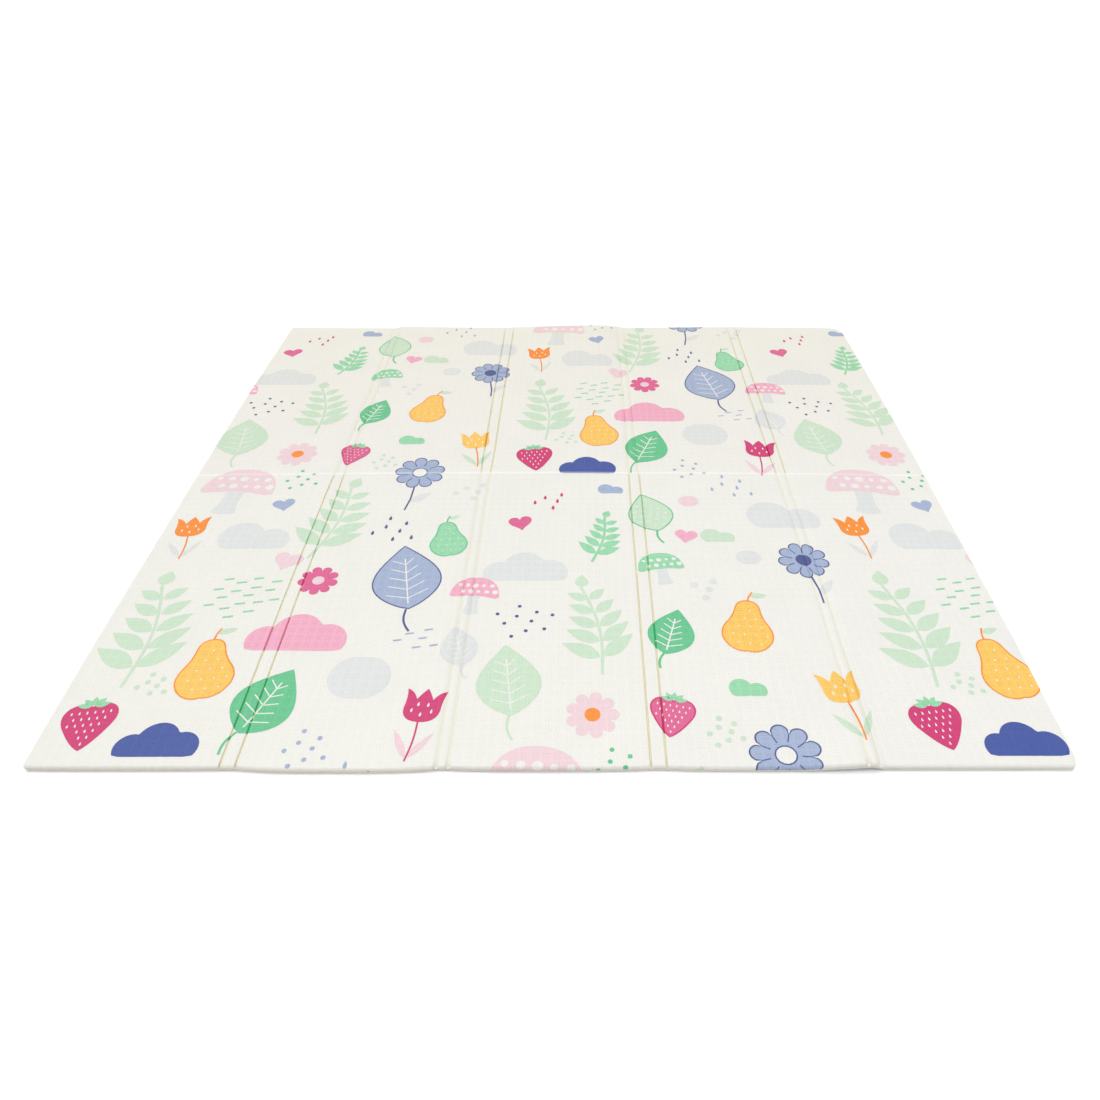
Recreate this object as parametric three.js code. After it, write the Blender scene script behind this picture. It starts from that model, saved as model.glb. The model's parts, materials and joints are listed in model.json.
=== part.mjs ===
// Folding play mat, lying open: one board of closed-cell foam, covered on both faces by a
// plastic film. Four hinge strips run from front to back, each between two pressed grooves,
// and one shallow crease runs across the middle, so that ten panels fold into a stack.
// Millimetres. X runs along the front edge, Y runs away from it, Z is up. The origin is on
// the surface that the mat lies on, below the middle of the mat.

import * as THREE from 'three';

// The board
const WIDTH = 2000;
const DEPTH = 1800;
const THICKNESS = 15;
const CORNER_RADIUS = 14;
const TOP_EDGE_RADIUS = 5;
const BOTTOM_EDGE_RADIUS = 2.5;
const SIDE_SEAM = 6;

// The two grooves of each hinge strip, measured from the left edge of the mat. A strip that
// folds inwards in the front half folds outwards in the back half, and the next strip the
// other way round.
const HINGE_STRIPS = [
  { left: 367, right: 396, foldsInward: 'front' },
  { left: 775, right: 801, foldsInward: 'back' },
  { left: 1191, right: 1220, foldsInward: 'front' },
  { left: 1594, right: 1618, foldsInward: 'back' },
];

// A groove is a narrow nick where its strip folds inwards. Where the strip folds outwards, the
// film there has stretched, and the same groove is a wider channel with soft shoulders.
const GROOVE_DEPTH = { nick: 9.5, channel: 8.5 };
const GROOVE_HALF_WIDTH = { nick: 2.6, channel: 8 };
const GROOVE_FLOOR = 0.6;
const UNDERSIDE_GROOVE_DEPTH = 2.5;
const GROOVE_OFFSETS = [GROOVE_FLOOR, GROOVE_HALF_WIDTH.nick, GROOVE_HALF_WIDTH.channel];

// The crease across the mat
const CREASE_FROM_MIDDLE = 25;
const CREASE_HALF_WIDTH = 6;
const CREASE_DEPTH = 2;
const CREASE_UNDERSIDE_DEPTH = 1;
const CREASE_FLOOR = 1.5;
const CREASE_ROWS = [-CREASE_HALF_WIDTH, -CREASE_FLOOR, CREASE_FLOOR, CREASE_HALF_WIDTH];

// How far the outline has drawn in at the corners and bulged between them
const SIDE_BULGE = 4;
const FRONT_CORNER_DRAW = 6;
const BACK_CORNER_DRAW = 16;
const PANEL_BULGES = [
  { front: 1, back: -6 },
  { front: 6, back: 6 },
  { front: 3, back: 12 },
  { front: 3, back: 9 },
  { front: 0, back: 6 },
];
const BULGE_REACH = 500;

// Where an end of the mat stands off the floor: how high, and how far the rise carries to the
// left, to the right and into the mat
const LIFTS = [
  { x: 604, end: 'front', height: 8, leftReach: 170, rightReach: 30, inward: 420 },
  { x: 0, end: 'back', height: 5, leftReach: 420, rightReach: 230, inward: 450 },
];

// How finely the long plain stretches are divided, the rows a little closer towards the ends
const PANEL_COLUMNS = 3;
const HALF_ROWS = 4;
const ROW_CROWDING = 0.8;

const clamp01 = (t) => Math.min(1, Math.max(0, t));
const smooth = (t) => clamp01(t) ** 2 * (3 - 2 * clamp01(t));

const grooves = HINGE_STRIPS.flatMap((strip) => [
  { x: strip.left - WIDTH / 2, foldsInward: strip.foldsInward },
  { x: strip.right - WIDTH / 2, foldsInward: strip.foldsInward },
]);

// The panels and what lies between them, as stretches along the front edge
const panels = PANEL_BULGES.map((bulge, i) => ({
  ...bulge,
  from: i === 0 ? -WIDTH / 2 : HINGE_STRIPS[i - 1].right - WIDTH / 2,
  to: i === HINGE_STRIPS.length ? WIDTH / 2 : HINGE_STRIPS[i].left - WIDTH / 2,
}));

// 1 in the middle of a groove, 0 at its shoulders, with an even slope or a soft one
function grooveShape(distance, halfWidth, soft) {
  const t = clamp01((halfWidth - distance) / (halfWidth - GROOVE_FLOOR));
  return soft ? smooth(t) : t;
}

function topGrooveDepth(x, y) {
  let depth = 0;
  for (const groove of grooves) {
    const half = y < CREASE_FROM_MIDDLE ? 'front' : 'back';
    const kind = groove.foldsInward === half ? 'nick' : 'channel';
    const shape = grooveShape(Math.abs(x - groove.x), GROOVE_HALF_WIDTH[kind], kind === 'channel');
    depth = Math.max(depth, GROOVE_DEPTH[kind] * shape);
  }
  return depth;
}

function undersideGrooveDepth(x) {
  const shapes = grooves.map((g) => grooveShape(Math.abs(x - g.x), GROOVE_HALF_WIDTH.nick, false));
  return UNDERSIDE_GROOVE_DEPTH * Math.max(...shapes);
}

function creaseShape(y) {
  return smooth((CREASE_HALF_WIDTH - Math.abs(y - CREASE_FROM_MIDDLE)) / CREASE_HALF_WIDTH);
}

// How far the whole board stands off the floor
function liftAt(x, y) {
  let height = 0;
  for (const lift of LIFTS) {
    const reach = x < lift.x ? lift.leftReach : lift.rightReach;
    const fromEnd = lift.end === 'front' ? y + DEPTH / 2 : DEPTH / 2 - y;
    const across = smooth(1 - Math.abs(x - lift.x) / reach);
    height = Math.max(height, lift.height * across * smooth(1 - fromEnd / lift.inward));
  }
  return height;
}

// The even rectangle of the lattice, pushed into the outline that the mat really has
function outline(x, y) {
  const fromMiddle = y / (DEPTH / 2);
  const frontDraw = FRONT_CORNER_DRAW * clamp01(-2 * fromMiddle - 1) ** 2;
  const backDraw = BACK_CORNER_DRAW * clamp01(fromMiddle) ** 2;
  const sideways = (SIDE_BULGE - frontDraw - backDraw) * x / (WIDTH / 2);
  const panel = panels.find((p) => x >= p.from && x <= p.to);
  let lengthways = 0;
  if (panel) {
    const fromCentre = (2 * x - panel.from - panel.to) / (panel.to - panel.from);
    const bulge = y < 0 ? -panel.front : panel.back;
    const nearEnd = smooth(1 - (DEPTH / 2 - Math.abs(y)) / BULGE_REACH);
    lengthways = bulge * (1 - fromCentre ** 4) * nearEnd;
  }
  return [x + sideways, y + lengthways];
}

// The rounded rim, station by station from the side of the board inwards: how far a station
// lies in from the outline and how far below, or above, the flat of its face
function rimStations(radius, sideHeight) {
  const diagonal = radius * (1 - Math.SQRT1_2);
  return [
    { inset: 0, away: sideHeight },
    { inset: 0, away: radius },
    { inset: diagonal, away: diagonal },
    { inset: radius, away: 0 },
    { inset: CORNER_RADIUS, away: 0 },
  ];
}

const topRim = rimStations(TOP_EDGE_RADIUS, THICKNESS - SIDE_SEAM);
const bottomRim = rimStations(BOTTOM_EDGE_RADIUS, SIDE_SEAM);
const LAST = topRim.length - 1;

// The lattice lines between the rims, as distances from the middle of the mat
function innerColumns() {
  const columns = grooves.flatMap((g) => GROOVE_OFFSETS.flatMap((o) => [g.x - o, g.x + o]));
  for (const panel of panels) {
    for (let k = 1; k <= PANEL_COLUMNS; k += 1) {
      columns.push(panel.from + (panel.to - panel.from) * k / (PANEL_COLUMNS + 1));
    }
  }
  return columns.sort((a, b) => a - b);
}

function innerRows() {
  const rows = CREASE_ROWS.map((offset) => CREASE_FROM_MIDDLE + offset);
  const ends = DEPTH / 2 - CORNER_RADIUS;
  for (let k = 1; k <= HALF_ROWS; k += 1) {
    const share = (k / (HALF_ROWS + 1)) ** ROW_CROWDING;
    rows.push(CREASE_FROM_MIDDLE - (ends + CREASE_FROM_MIDDLE) * share);
    rows.push(CREASE_FROM_MIDDLE + (ends - CREASE_FROM_MIDDLE) * share);
  }
  return rows.sort((a, b) => a - b);
}

const columns = innerColumns();
const rows = innerRows();
const across = columns.length + 2 * (LAST + 1);
const along = rows.length + 2 * (LAST + 1);

// Where a lattice line lies: inside the board, or at a station of the rim on one side
function latticeLine(index, count, inner, half) {
  if (index <= LAST) return { station: index, side: -1, at: -half + CORNER_RADIUS };
  if (index >= count - 1 - LAST) return { station: count - 1 - index, side: 1, at: half - CORNER_RADIUS };
  return { station: LAST, side: 0, at: inner[index - LAST - 1] };
}

// One lattice point in plan, with the drop of its rim. At a corner the stations are nested
// arcs about one centre, and each arc is shared out between the lattice lines that cross it.
function planPoint(i, j, rim) {
  const column = latticeLine(i, across, columns, WIDTH / 2);
  const row = latticeLine(j, along, rows, DEPTH / 2);
  const ring = Math.min(column.station, row.station);
  const { inset, away } = rim[ring];
  const reach = CORNER_RADIUS - inset;
  const later = Math.max(column.station, row.station);
  const turn = ring === LAST ? 0 : (Math.PI / 4) * (LAST - later) / (LAST - ring);
  const long = ring === LAST ? 0 : reach * Math.cos(turn);
  const short = ring === LAST ? 0 : reach * Math.sin(turn);
  const columnIsRing = column.station <= row.station;
  const x = column.at + column.side * (columnIsRing ? long : short);
  const y = row.at + row.side * (columnIsRing ? short : long);
  return { x, y, away };
}

function topPoint(i, j) {
  const { x, y, away } = planPoint(i, j, topRim);
  const pressed = topGrooveDepth(x, y) + CREASE_DEPTH * creaseShape(y);
  const below = Math.min(Math.max(away, pressed), THICKNESS - SIDE_SEAM);
  return new THREE.Vector3(...outline(x, y), THICKNESS - below + liftAt(x, y));
}

function bottomPoint(i, j) {
  const { x, y, away } = planPoint(i, j, bottomRim);
  const pressed = Math.max(undersideGrooveDepth(x), CREASE_UNDERSIDE_DEPTH * creaseShape(y));
  return new THREE.Vector3(...outline(x, y), Math.max(away, pressed) + liftAt(x, y));
}

// The two faces share the seam that runs round the side of the board
function boardGeometry() {
  const positions = [];
  const index = [];
  const onSeam = (i, j) => i === 0 || j === 0 || i === across - 1 || j === along - 1;
  const topIds = new Map();
  const id = (i, j) => i * along + j;
  const addPoint = (p) => {
    positions.push(p.x, p.y, p.z);
    return positions.length / 3 - 1;
  };
  for (let i = 0; i < across; i += 1) {
    for (let j = 0; j < along; j += 1) topIds.set(id(i, j), addPoint(topPoint(i, j)));
  }
  const bottomIds = new Map();
  for (let i = 0; i < across; i += 1) {
    for (let j = 0; j < along; j += 1) {
      const shared = onSeam(i, j) ? topIds.get(id(i, j)) : addPoint(bottomPoint(i, j));
      bottomIds.set(id(i, j), shared);
    }
  }
  for (let i = 0; i < across - 1; i += 1) {
    for (let j = 0; j < along - 1; j += 1) {
      const corners = [id(i, j), id(i + 1, j), id(i + 1, j + 1), id(i, j + 1)];
      const [a, b, c, d] = corners.map((k) => topIds.get(k));
      index.push(a, b, c, a, c, d);
      const [e, f, g, h] = corners.map((k) => bottomIds.get(k));
      index.push(e, g, f, e, h, g);
    }
  }
  const geometry = new THREE.BufferGeometry();
  geometry.setAttribute('position', new THREE.Float32BufferAttribute(positions, 3));
  geometry.setIndex(index);
  geometry.computeVertexNormals();
  return geometry;
}

// Cream film, satin
const film = new THREE.MeshStandardMaterial({ color: 0xf2f0e8, roughness: 0.55, metalness: 0 });

const mat = new THREE.Mesh(boardGeometry(), film);
mat.name = 'mat';

// The two ends bulge by different amounts, so the mat is set back over the origin
const farthest = (end) => Math.max(...PANEL_BULGES.map((bulge) => bulge[end]));
mat.position.y = (farthest('front') - farthest('back')) / 2;

const playMat = new THREE.Group();
playMat.add(mat);

export default playMat;
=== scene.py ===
import bisect
import json
import math

import bpy
import numpy as np
from mathutils import Matrix, Vector
from mathutils.geometry import tessellate_polygon

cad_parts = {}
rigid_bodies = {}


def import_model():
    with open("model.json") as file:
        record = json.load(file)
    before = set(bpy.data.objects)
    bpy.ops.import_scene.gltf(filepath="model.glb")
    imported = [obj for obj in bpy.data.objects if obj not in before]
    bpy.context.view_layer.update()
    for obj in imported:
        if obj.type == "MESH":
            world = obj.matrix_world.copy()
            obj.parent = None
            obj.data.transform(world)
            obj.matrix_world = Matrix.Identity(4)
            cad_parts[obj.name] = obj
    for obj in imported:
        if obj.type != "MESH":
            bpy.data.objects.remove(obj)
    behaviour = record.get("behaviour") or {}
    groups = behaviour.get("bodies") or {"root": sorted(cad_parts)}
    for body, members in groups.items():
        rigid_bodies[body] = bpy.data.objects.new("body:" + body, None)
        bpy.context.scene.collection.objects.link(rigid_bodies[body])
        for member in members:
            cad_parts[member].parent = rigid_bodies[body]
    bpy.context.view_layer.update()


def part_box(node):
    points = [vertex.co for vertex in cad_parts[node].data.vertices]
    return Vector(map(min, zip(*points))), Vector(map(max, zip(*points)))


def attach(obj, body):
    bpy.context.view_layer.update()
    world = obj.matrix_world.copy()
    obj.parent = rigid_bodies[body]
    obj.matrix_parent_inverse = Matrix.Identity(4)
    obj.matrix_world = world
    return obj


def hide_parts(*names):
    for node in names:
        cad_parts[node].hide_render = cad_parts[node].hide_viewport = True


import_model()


# The board: one sheet of closed-cell foam under a bonded plastic film. Hot bars press the two
# grooves of each hinge strip and the crease across the middle into it, and the film is drawn
# round the rim. All sizes are in metres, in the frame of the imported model.

THICKNESS = 0.015
CORNER_RADIUS = 0.0065
TOP_EDGE_RADIUS = 0.005
BOTTOM_EDGE_RADIUS = 0.0025
SIDE_SEAM = 0.006

# The even places of the two grooves of each hinge strip, from the left edge, the half in which
# the strip folds inwards, and how far it wanders sideways, at five places from front to back
HINGE_STRIPS = [
    {"left": 0.367, "right": 0.396, "inward": "front",
     "wander": [0.007, 0.004, 0.0055, 0.0115, 0.013]},
    {"left": 0.775, "right": 0.801, "inward": "back",
     "wander": [0.004, 0.003, 0.0025, 0.005, 0.009]},
    {"left": 1.191, "right": 1.220, "inward": "front",
     "wander": [-0.0035, -0.0035, -0.0055, -0.0085, -0.010]},
    {"left": 1.594, "right": 1.618, "inward": "back",
     "wander": [0.003, 0.0055, 0.001, -0.0065, -0.013]},
]
GROOVE_FROM_MIDDLE = {"nick": 0.015, "channel": 0.011}
SPREAD_CHANGEOVER = 0.10
# The shape of each kind of groove, and how strongly it carries painted groove shade: the yellow cast of
# light bouncing in the groove
GROOVES = {
    "nick": {"depth": 0.0030, "half": 0.0026, "sag": 0.0002, "reach": 0.010, "groove_shade": 1.0},
    "channel": {"depth": 0.0021, "half": 0.0070, "sag": 0.0009, "reach": 0.017, "groove_shade": 0.42},
}
GROOVE_FLOOR = 0.0005
# How far from a groove's middle its painted groove shade reaches
GROOVE_SHADE_HALF_WIDTH = {"nick": 0.0026, "channel": 0.0042}
PINCHED_DEPTH = 0.0085
PINCH_REACH = 0.013
# How much painted highlight lightens the pinched groove ends at the front rim
PINCH_HIGHLIGHT = 0.65
BACK_END_SHARE = 0.3
BACK_END_REACH = 0.05
UNDERSIDE_GROOVE = {"depth": 0.0025, "half": 0.0026}

CREASE_Y = 0.025
CREASE_BOW = -0.013
CREASE_BOW_REACH = 0.6
CREASE_HALF_WIDTH = 0.006
CREASE_DEPTH = 0.0006
CREASE_CHANGEOVER = 0.018

# How far the outline draws in at the corners. The front edge bulges on each panel, and the back
# edge reaches its own distance out at each panel's left and right end.
SIDE_BULGE = 0.004
FRONT_CORNER_DRAW = 0.006
BACK_CORNER_DRAW = 0.016
PANEL_ENDS = [
    {"front": 0.001, "back_left": 0.000, "back_right": -0.003},
    {"front": 0.006, "back_left": 0.009, "back_right": 0.001},
    {"front": 0.003, "back_left": 0.004, "back_right": 0.012},
    {"front": 0.003, "back_left": 0.002, "back_right": 0.008},
    {"front": 0.000, "back_left": 0.008, "back_right": 0.001},
]
END_REACH = 0.5
TUCKED_CORNER = 0.009
TUCK_REACH = 0.05

# The front right corner is pulled in, over the last rows of the lattice
PULLED_CORNER = 0.007
PULL_REACH = 0.024
PULL_ROWS = (0.013, 0.018, 0.024)

# Where an end stands off the floor: how high, and how far the rise carries
LIFTS = [
    {"x": 0.604, "end": "front", "height": 0.008, "left": 0.17, "right": 0.03, "inward": 0.42},
    {"x": 0.12, "end": "back", "height": 0.006, "left": 0.4, "right": 0.09, "inward": 0.45},
]

# Slow waves that the film keeps from its rolling: how high, and how long each way
FILM_WAVES = [
    {"height": 0.00025, "x": 0.31, "y": 0.53, "start": 0.4},
    {"height": 0.00020, "x": -0.23, "y": 0.37, "start": 1.9},
    {"height": 0.00012, "x": 0.11, "y": -0.19, "start": 3.3},
]

low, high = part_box("mat")
reach_front = max(panel["front"] for panel in PANEL_ENDS)
reach_back = max(panel[end] for panel in PANEL_ENDS for end in ("back_left", "back_right"))
WIDTH = high.x - low.x - 2 * SIDE_BULGE
DEPTH = high.y - low.y - reach_front - reach_back
SET_BACK = (reach_front - reach_back) / 2

grooves = [
    (strip[side] - WIDTH / 2, strip["inward"]) for strip in HINGE_STRIPS for side in ("left", "right")
]
panel_starts = [-WIDTH / 2] + [strip["right"] - WIDTH / 2 for strip in HINGE_STRIPS]
panel_ends = [strip["left"] - WIDTH / 2 for strip in HINGE_STRIPS] + [WIDTH / 2]


def smooth(t):
    t = np.clip(t, 0.0, 1.0)
    return t * t * (3.0 - 2.0 * t)


def groove_press(x, y):
    """How deep the bars have pressed the printed face, with the painted groove shade and the painted
    highlight where the grooves pinch down at the front rim.
    """
    back = smooth((y - CREASE_Y) / CREASE_CHANGEOVER / 2 + 0.5)
    pinch = smooth(1 - (DEPTH / 2 + y) / PINCH_REACH)
    back_end = 1 - (1 - BACK_END_SHARE) * smooth(1 - (DEPTH / 2 - y) / BACK_END_REACH)
    press = np.zeros_like(x)
    groove_shade = np.zeros_like(x)
    for groove_x, inward in grooves:
        nick = back if inward == "back" else 1 - back
        away = np.abs(x - groove_x)
        for kind, share in (("nick", nick), ("channel", 1 - nick)):
            shape = GROOVES[kind]
            slope = smooth((shape["half"] - away) / (shape["half"] - GROOVE_FLOOR))
            deep = shape["depth"] + (PINCHED_DEPTH - shape["depth"]) * pinch
            sag = shape["sag"] * smooth(1 - away / shape["reach"])
            # Painted groove shade, strongest on the groove's floor
            tint = smooth((GROOVE_SHADE_HALF_WIDTH[kind] - away) / (GROOVE_SHADE_HALF_WIDTH[kind] - GROOVE_FLOOR))
            press = np.maximum(press, share * np.maximum(sag, sag * (1 - slope) + deep * slope))
            groove_shade = np.maximum(groove_shade, share * shape["groove_shade"] * tint)
    # Painted highlight at the pinched groove ends, where the groove shade fades
    end_highlight = PINCH_HIGHLIGHT * pinch * groove_shade
    return press * back_end, groove_shade * back_end * (1 - PINCH_HIGHLIGHT * pinch), end_highlight


def underside_press(x, y):
    press = np.zeros_like(x)
    for groove_x, _ in grooves:
        slope = (UNDERSIDE_GROOVE["half"] - np.abs(x - groove_x)) / UNDERSIDE_GROOVE["half"]
        press = np.maximum(press, UNDERSIDE_GROOVE["depth"] * smooth(slope))
    return press


def crease_shape(y):
    return smooth(1 - np.abs(y - CREASE_Y) / CREASE_HALF_WIDTH)


def lift_at(x, y):
    height = np.zeros_like(x)
    for lift in LIFTS:
        reach = np.where(x < lift["x"], lift["left"], lift["right"])
        from_end = y + DEPTH / 2 if lift["end"] == "front" else DEPTH / 2 - y
        across = smooth(1 - np.abs(x - lift["x"]) / reach)
        height = np.maximum(height, lift["height"] * across * smooth(1 - from_end / lift["inward"]))
    return height


def film_waves(x, y):
    rise = np.zeros_like(x)
    for wave in FILM_WAVES:
        rise = rise + wave["height"] * np.sin(2 * math.pi * (x / wave["x"] + y / wave["y"]) + wave["start"])
    return rise


def side_reach(y):
    """How far the sides stand out from the even rectangle."""
    from_middle = y / (DEPTH / 2)
    draw = FRONT_CORNER_DRAW * np.clip(-2 * from_middle - 1, 0, 1) ** 2
    return SIDE_BULGE - draw - BACK_CORNER_DRAW * np.clip(from_middle, 0, 1) ** 2


def groove_shifts(y):
    """How far each groove lies aside from its even place."""
    shifts = []
    stations = np.linspace(-DEPTH / 2, DEPTH / 2, len(HINGE_STRIPS[0]["wander"]))
    back = smooth((y - CREASE_Y) / SPREAD_CHANGEOVER / 2 + 0.5)
    for strip in HINGE_STRIPS:
        nick = back if strip["inward"] == "back" else 1 - back
        half = GROOVE_FROM_MIDDLE["channel"] * (1 - nick) + GROOVE_FROM_MIDDLE["nick"] * nick
        wander = np.interp(y, stations, strip["wander"])
        even_half = (strip["right"] - strip["left"]) / 2
        shifts += [wander + even_half - half, wander - even_half + half]
    return shifts


def shifted_aside(x, y):
    """The film between two grooves, or a groove and a side, is shared out as they shift."""
    even = [-WIDTH / 2] + [groove_x for groove_x, _ in grooves] + [WIDTH / 2]
    shift = [-side_reach(y)] + groove_shifts(y) + [side_reach(y)]
    out = x.copy()
    for k in range(len(even) - 1):
        share = (x - even[k]) / (even[k + 1] - even[k])
        between = (share >= 0) & (share <= 1)
        out = np.where(between, x + shift[k] * (1 - share) + shift[k + 1] * share, out)
    return out


def end_reach(x, y):
    """How far the front or the back edge reaches out from the even rectangle."""
    front = np.zeros_like(x)
    for start, end, panel in zip(panel_starts, panel_ends, PANEL_ENDS):
        from_centre = np.clip((2 * x - start - end) / (end - start), -1, 1)
        front = np.maximum(front, panel["front"] * (1 - from_centre ** 4))
    places = [place for pair in zip(panel_starts, panel_ends) for place in pair]
    reaches = [panel[end] for panel in PANEL_ENDS for end in ("back_left", "back_right")]
    back = np.interp(x, places, reaches)
    return np.where(y < 0, -front, back)


def outline(x, y):
    """Pushes the even rectangle into the outline that the mat really has."""
    near_end = smooth(1 - (DEPTH / 2 - np.abs(y)) / END_REACH)
    bow = CREASE_BOW * (x / (WIDTH / 2)) ** 2 * smooth(1 - np.abs(y - CREASE_Y) / CREASE_BOW_REACH)
    near_corner = smooth(1 - (WIDTH / 2 - x) / TUCK_REACH) * smooth(1 - (DEPTH / 2 - y) / TUCK_REACH)
    tuck = TUCKED_CORNER * near_corner
    pull = PULLED_CORNER * smooth(1 - (WIDTH / 2 - x) / PULL_REACH)
    pull = pull * smooth(1 - (DEPTH / 2 + y) / PULL_REACH)
    return shifted_aside(x, y) - tuck - pull, y + SET_BACK + bow + end_reach(x, y) * near_end - tuck


# The rounded rim, station by station inwards: how far in from the outline, how far off the flat
SIDE_STATIONS = 3
ARC_STATIONS = 6
RIM_FLAT_STATIONS = 2


def rim_stations(radius, side_height):
    stations = [
        (0.0, side_height + (radius - side_height) * k / SIDE_STATIONS) for k in range(SIDE_STATIONS)
    ]
    for k in range(ARC_STATIONS + 1):
        turn = math.pi / 2 * k / ARC_STATIONS
        stations.append((radius * (1 - math.cos(turn)), radius * (1 - math.sin(turn))))
    for k in range(1, RIM_FLAT_STATIONS + 1):
        stations.append((radius + (CORNER_RADIUS - radius) * k / RIM_FLAT_STATIONS, 0.0))
    return stations


top_rim = rim_stations(TOP_EDGE_RADIUS, THICKNESS - SIDE_SEAM)
bottom_rim = rim_stations(BOTTOM_EDGE_RADIUS, SIDE_SEAM)
LAST = len(top_rim) - 1

# The lattice lines between the rims: close in the grooves and the crease, wide on the panels
GROOVE_OFFSETS = [0.0, 0.0005, 0.0009, 0.0013, 0.0017, 0.0021, 0.0026, 0.0034, 0.0042, 0.0055]
GROOVE_OFFSETS += [0.0070, 0.0090, 0.0110, 0.0120, 0.0140, 0.0170]
CREASE_OFFSETS = [0.0, 0.0012, 0.0024, 0.0036, 0.0048, 0.0060, 0.0090, 0.0130, 0.0180]
PANEL_PITCH = 0.027


def even_lines(start, end):
    count = max(1, round((end - start) / PANEL_PITCH))
    return [start + (end - start) * k / count for k in range(1, count)]


def lattice_lines(centres, offsets, half):
    lines = []
    for line in sorted(c + s * o for c in centres for o in offsets for s in (-1, 1)):
        if not lines or line - lines[-1] > 0.0003:
            lines.append(line)
    inner = half - CORNER_RADIUS
    gaps = [(a, b) for a, b in zip([-inner] + lines, lines + [inner]) if b - a > 1.5 * PANEL_PITCH]
    for a, b in gaps:
        lines += even_lines(a, b)
    return sorted(lines)


columns = lattice_lines([groove_x for groove_x, _ in grooves], GROOVE_OFFSETS, WIDTH / 2)
rows = lattice_lines([CREASE_Y], CREASE_OFFSETS, DEPTH / 2)
rows = sorted(rows + [from_front - DEPTH / 2 for from_front in PULL_ROWS])


def line_places(inner, half):
    """Each lattice line's station on the rim, the side it is on, and its place."""
    ends = [(k, -1, -half + CORNER_RADIUS) for k in range(LAST + 1)]
    far_ends = [(k, 1, half - CORNER_RADIUS) for k in range(LAST, -1, -1)]
    return ends + [(LAST, 0, at) for at in inner] + far_ends


column_places = line_places(columns, WIDTH / 2)
row_places = line_places(rows, DEPTH / 2)
ACROSS = len(column_places)
ALONG = len(row_places)


def plan_grid(rim):
    """The lattice in plan, with the drop of the rim. At a corner the stations are nested arcs."""
    x = np.zeros((ACROSS, ALONG))
    y = np.zeros((ACROSS, ALONG))
    away = np.zeros((ACROSS, ALONG))
    for i, (column_station, column_side, column_at) in enumerate(column_places):
        for j, (row_station, row_side, row_at) in enumerate(row_places):
            ring = min(column_station, row_station)
            later = max(column_station, row_station)
            inset, away[i, j] = rim[ring]
            reach = 0.0 if ring == LAST else CORNER_RADIUS - inset
            turn = 0.0 if ring == LAST else math.pi / 4 * (LAST - later) / (LAST - ring)
            long, short = reach * math.cos(turn), reach * math.sin(turn)
            if column_station > row_station:
                long, short = short, long
            x[i, j] = column_at + column_side * long
            y[i, j] = row_at + row_side * short
    return x, y, away


# Where the side is painted with a warm shade as it turns down, from none on the flat to all at the seam
SIDE_SHADE_FROM = 0.003
SIDE_SHADE_OVER = 0.005

# The film's slow waves stop where the rim starts to turn, and are whole this far in
WAVES_STOP = 0.001
WAVES_START = 0.05

plan_x, plan_y, away = plan_grid(top_rim)
# Painted shade down the side of the rim
side_shade_share = smooth((away - SIDE_SHADE_FROM) / SIDE_SHADE_OVER)
# The bars' press, with the painted groove shade and the painted highlight at the groove ends
pressed, groove_shade_share, pinch_highlight = groove_press(plan_x, plan_y)
crease_share = crease_shape(plan_y)
# Painted highlight along the crease and at the pinched groove ends, where the side shade gives way to it
highlight_share = np.maximum(crease_share, pinch_highlight)
side_shade_share = side_shade_share * (1 - pinch_highlight)
below = np.maximum(away, pressed + CREASE_DEPTH * crease_share)
below = np.minimum(below, THICKNESS - SIDE_SEAM)
from_rim = np.minimum(WIDTH / 2 - np.abs(plan_x), DEPTH / 2 - np.abs(plan_y))
inland = smooth(1 - away / WAVES_STOP) * smooth(from_rim / WAVES_START)
top_z = THICKNESS - below + lift_at(plan_x, plan_y) + film_waves(plan_x, plan_y) * inland
top = np.stack([*outline(plan_x, plan_y), top_z], axis=-1)

plan_x, plan_y, away = plan_grid(bottom_rim)
under_pressed = underside_press(plan_x, plan_y)
# Painted shade down the side of the underside's rim
under_side_shade = smooth(away / SIDE_SHADE_OVER)
bottom_z = np.maximum(away, under_pressed) + lift_at(plan_x, plan_y)
bottom = np.stack([*outline(plan_x, plan_y), bottom_z], axis=-1)

# The painted light and shade at each point of a face: a yellow groove shade, a highlight along the
# crease and the groove ends, and a warm shade down the side
top_marks = {"groove_shade": groove_shade_share, "painted_highlight": highlight_share, "drawn": side_shade_share}
# The underside's grooves carry the same painted groove shade
under_groove_shade = under_pressed / UNDERSIDE_GROOVE["depth"]
bottom_marks = {"groove_shade": under_groove_shade, "painted_highlight": highlight_share, "drawn": under_side_shade}


def mark_points(mesh, marks):
    for name, values in marks.items():
        attribute = mesh.attributes.new(name, "FLOAT", "POINT")
        attribute.data.foreach_set("value", np.array(values, np.float32))


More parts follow.
